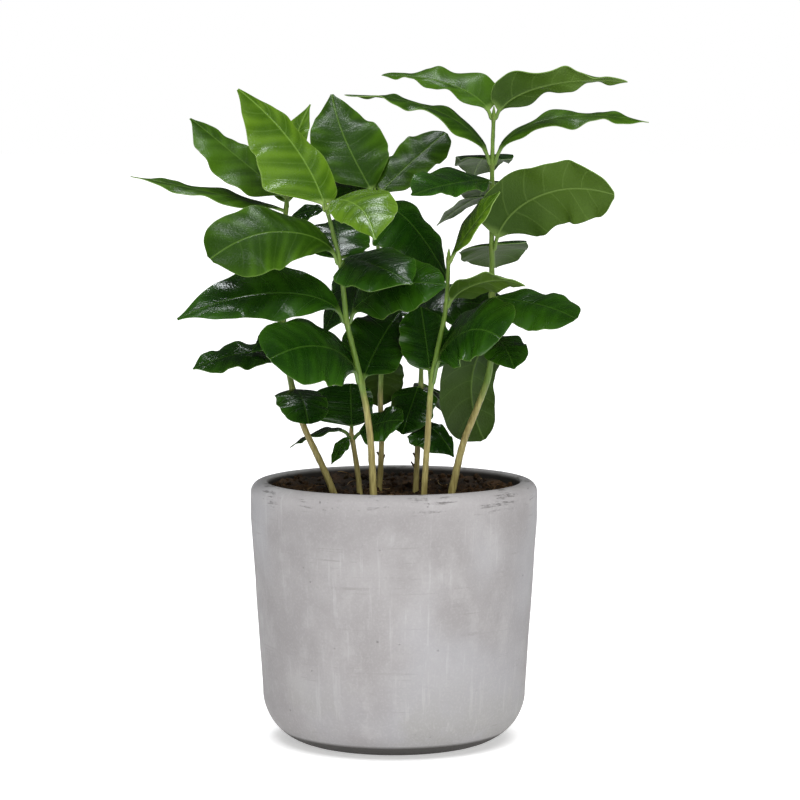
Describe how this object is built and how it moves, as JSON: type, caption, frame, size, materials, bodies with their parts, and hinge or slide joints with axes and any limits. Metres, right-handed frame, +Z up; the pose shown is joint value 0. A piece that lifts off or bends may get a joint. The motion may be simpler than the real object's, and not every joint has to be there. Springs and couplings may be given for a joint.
{
  "type": "potted coffee plant",
  "caption": "Young bushy coffee plant with glossy wavy leaves on slender stems, rooted in soil in a round tapered concrete pot with a soft lip.",
  "frame": {"origin": "centre of the pot's flat foot, on the surface it stands on", "axes": "+Z up, -Y towards the viewer of the picture, +X to the viewer's right"},
  "size_m": [0.2509, 0.1423, 0.3291],
  "materials": {
    "concrete": "matt cast concrete",
    "soil": "damp fibrous potting soil",
    "stem": "satin bark, tan below and green above",
    "leaf_dark": "glossy dark green leaf",
    "leaf_mid": "semi-gloss mid green leaf",
    "leaf_young": "glossy yellow-green young leaf"
  },
  "bodies": {
    "root": {"pot": "concrete", "soil": "soil", "stem_1": "stem", "stem_2": "stem", "stem_3": "stem", "stem_4": "stem", "stem_5": "stem", "stem_6": "stem", "stem_7": "stem", "leaf_1a": "leaf_mid", "leaf_1b": "leaf_mid", "leaf_1c": "leaf_dark", "leaf_1d": "leaf_dark", "leaf_1e": "leaf_dark", "leaf_1g": "leaf_dark", "leaf_1h": "leaf_young", "leaf_1i": "leaf_dark", "leaf_2a": "leaf_dark", "leaf_2b": "leaf_dark", "leaf_2c": "leaf_dark", "leaf_2d": "leaf_dark", "leaf_3a": "leaf_young", "leaf_3b": "leaf_young", "leaf_3c": "leaf_dark", "leaf_3d": "leaf_dark", "leaf_3e": "leaf_dark", "leaf_3f": "leaf_dark", "leaf_3g": "leaf_mid", "leaf_3h": "leaf_dark", "leaf_3i": "leaf_dark", "leaf_4a": "leaf_mid", "leaf_4b": "leaf_mid", "leaf_4c": "leaf_dark", "leaf_4d": "leaf_dark", "leaf_4f": "leaf_dark", "leaf_4h": "leaf_dark", "leaf_5a": "leaf_dark", "leaf_5b": "leaf_dark", "leaf_5c": "leaf_dark", "leaf_5d": "leaf_dark", "leaf_5e": "leaf_dark", "leaf_5f": "leaf_dark", "leaf_6a": "leaf_young", "leaf_6c": "leaf_dark", "leaf_6d": "leaf_dark", "leaf_6e": "leaf_mid", "leaf_7a": "leaf_mid", "leaf_7b": "leaf_mid", "leaf_7c": "leaf_mid", "leaf_7d": "leaf_mid", "leaf_7f": "leaf_mid", "leaf_7g": "leaf_dark", "leaf_7h": "leaf_dark", "leaf_7j": "leaf_dark", "leaf_7k": "leaf_dark", "leaf_7l": "leaf_dark", "leaf_7n": "leaf_dark", "leaf_7p": "leaf_dark", "leaf_7q": "leaf_dark"}
  },
  "joints": []
}
